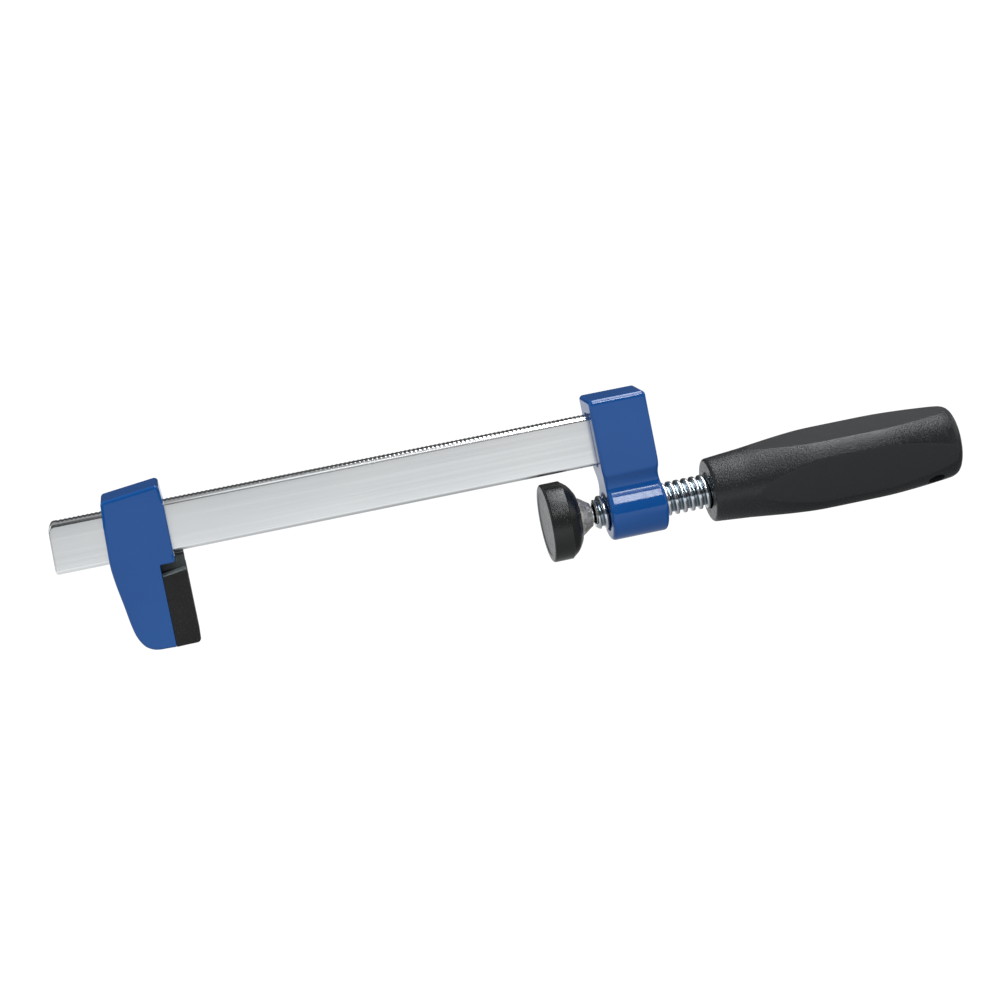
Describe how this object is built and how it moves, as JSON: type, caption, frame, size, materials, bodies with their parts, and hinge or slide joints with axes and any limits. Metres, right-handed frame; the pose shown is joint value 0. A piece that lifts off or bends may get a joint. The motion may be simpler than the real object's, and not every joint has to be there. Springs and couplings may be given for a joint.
{
  "type": "f clamp",
  "caption": "Light-duty F clamp: serrated flat steel bar, fixed jaw with a hand screw and swivel pad, sliding jaw with a rubber pad, barrel handle with four flats.",
  "frame": {"origin": "centre of the sliding jaw's pad face, on the screw's axis, with the clamp as pictured", "axes": "+X along the bar from the sliding jaw towards the handle, +Z from the screw towards the bar's serrated edge, Y across the jaws, -Y the side facing the viewer"},
  "size_m": [0.3357, 0.0294, 0.0589],
  "materials": {
    "zinc_plated_steel": "bright zinc plate",
    "plain_steel": "dull machined steel",
    "blue_paint": "gloss baked enamel",
    "black_plastic": "satin moulded plastic with fine grain",
    "pad_rubber": "matt moulded rubber"
  },
  "bodies": {
    "bar_and_fixed_jaw": {"bar": "zinc_plated_steel", "fixed_jaw": "blue_paint", "fixed_jaw_pin_lower": "plain_steel", "fixed_jaw_pin_upper": "plain_steel"},
    "jaw_grip": {"grip_pin_upper": "plain_steel"},
    "sliding_jaw": {"sliding_jaw": "blue_paint", "grip_pin_lower": "plain_steel", "jaw_pad": "pad_rubber"},
    "screw_thrust": {"thrust_ball": "plain_steel"},
    "screw": {"spindle": "zinc_plated_steel", "handle": "black_plastic"},
    "pad_gimbal": {"thrust_washer": "plain_steel"},
    "pad_cup": {"swivel_cup": "plain_steel"},
    "pad_cap": {"swivel_cap": "black_plastic"}
  },
  "joints": [
    {"name": "jaw_slide", "type": "slide", "parent": "bar_and_fixed_jaw", "child": "jaw_grip", "axis": [1, 0, 0], "range_m": [-0.019, 0.11]},
    {"name": "jaw_rock", "type": "hinge", "parent": "jaw_grip", "child": "sliding_jaw", "pos_m": [-0.0062, 0, 0.03875], "axis": [0, 1, 0], "range_deg": [-0.6, 1.1]},
    {"name": "screw_travel", "type": "slide", "parent": "bar_and_fixed_jaw", "child": "screw_thrust", "axis": [-1, 0, 0], "range_m": [-0.0045, 0.017]},
    {"name": "screw_turn", "type": "hinge", "parent": "screw_thrust", "child": "screw", "pos_m": [0.1396, 0, 0], "axis": [-1, 0, 0], "range_deg": [-541, 2041]},
    {"name": "pad_tilt_z", "type": "hinge", "parent": "screw_thrust", "child": "pad_gimbal", "pos_m": [0.1396, 0, 0], "axis": [0, 0, 1], "range_deg": [-5, 5]},
    {"name": "pad_tilt_y", "type": "hinge", "parent": "pad_gimbal", "child": "pad_cup", "pos_m": [0.1396, 0, 0], "axis": [0, 1, 0], "range_deg": [-5, 5]},
    {"name": "pad_spin", "type": "hinge", "parent": "pad_cup", "child": "pad_cap", "pos_m": [0.1396, 0, 0], "axis": [1, 0, 0], "continuous": true}
  ],
  "couplings": [
    {"joint": "screw_turn", "follows": "screw_travel", "rad_per_m": 2094.4}
  ]
}
